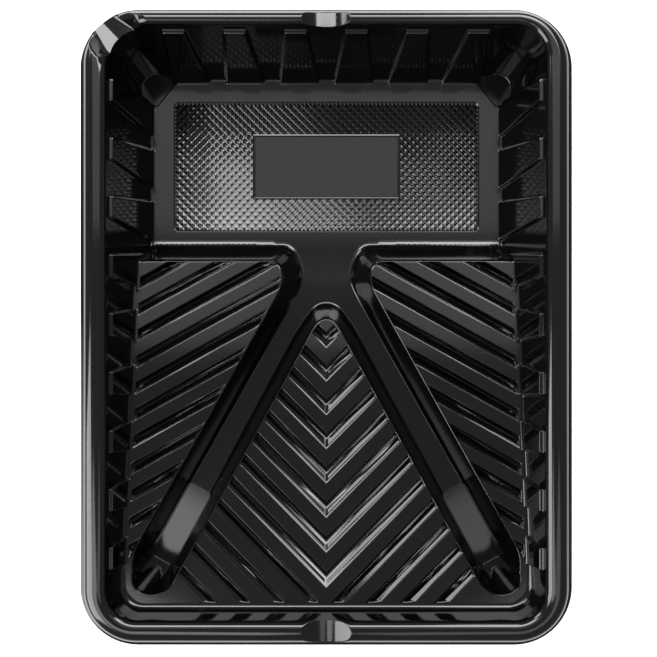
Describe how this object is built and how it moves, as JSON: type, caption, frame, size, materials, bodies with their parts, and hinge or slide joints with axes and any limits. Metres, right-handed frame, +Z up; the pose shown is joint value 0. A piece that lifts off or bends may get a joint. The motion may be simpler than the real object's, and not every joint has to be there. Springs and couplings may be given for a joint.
{
  "type": "paint roller tray",
  "caption": "Glossy black vacuum-formed paint roller tray with a deep well, a grooved ramp, a Y-shaped drain channel, a rolled rim and a corner spout.",
  "frame": {"origin": "on the ground under the middle of the rim's outline", "axes": "+Z up, +Y from the shallow end of the ramp towards the deep paint well, +X to the right seen from above with the well at the top"},
  "size_m": [0.305, 0.394, 0.07],
  "materials": {
    "black_plastic": "gloss"
  },
  "bodies": {
    "root": {"blank_plaque": "black_plastic", "channel_leg_left": "black_plastic", "channel_leg_right": "black_plastic", "channel_neck": "black_plastic", "front_foot_left": "black_plastic", "front_foot_right": "black_plastic", "front_wall": "black_plastic", "grip_panel": "black_plastic", "pouring_spout": "black_plastic", "ramp_centre": "black_plastic", "ramp_corner_left": "black_plastic", "ramp_corner_right": "black_plastic", "ramp_side_left": "black_plastic", "ramp_side_right": "black_plastic", "ramp_wall_left": "black_plastic", "ramp_wall_right": "black_plastic", "rear_foot_left": "black_plastic", "rear_foot_right": "black_plastic", "rim_back": "black_plastic", "rim_back_corner_right": "black_plastic", "rim_front": "black_plastic", "rim_front_corner_left": "black_plastic", "rim_front_corner_right": "black_plastic", "rim_left": "black_plastic", "rim_right": "black_plastic", "rim_saddle_back": "black_plastic", "rim_saddle_front": "black_plastic", "riser_left": "black_plastic", "riser_right": "black_plastic", "spout_shoulder_back": "black_plastic", "spout_shoulder_left": "black_plastic", "well_corner_left": "black_plastic", "well_corner_right": "black_plastic", "well_floor": "black_plastic", "well_wall_back": "black_plastic", "well_wall_left": "black_plastic", "well_wall_right": "black_plastic"}
  },
  "joints": []
}
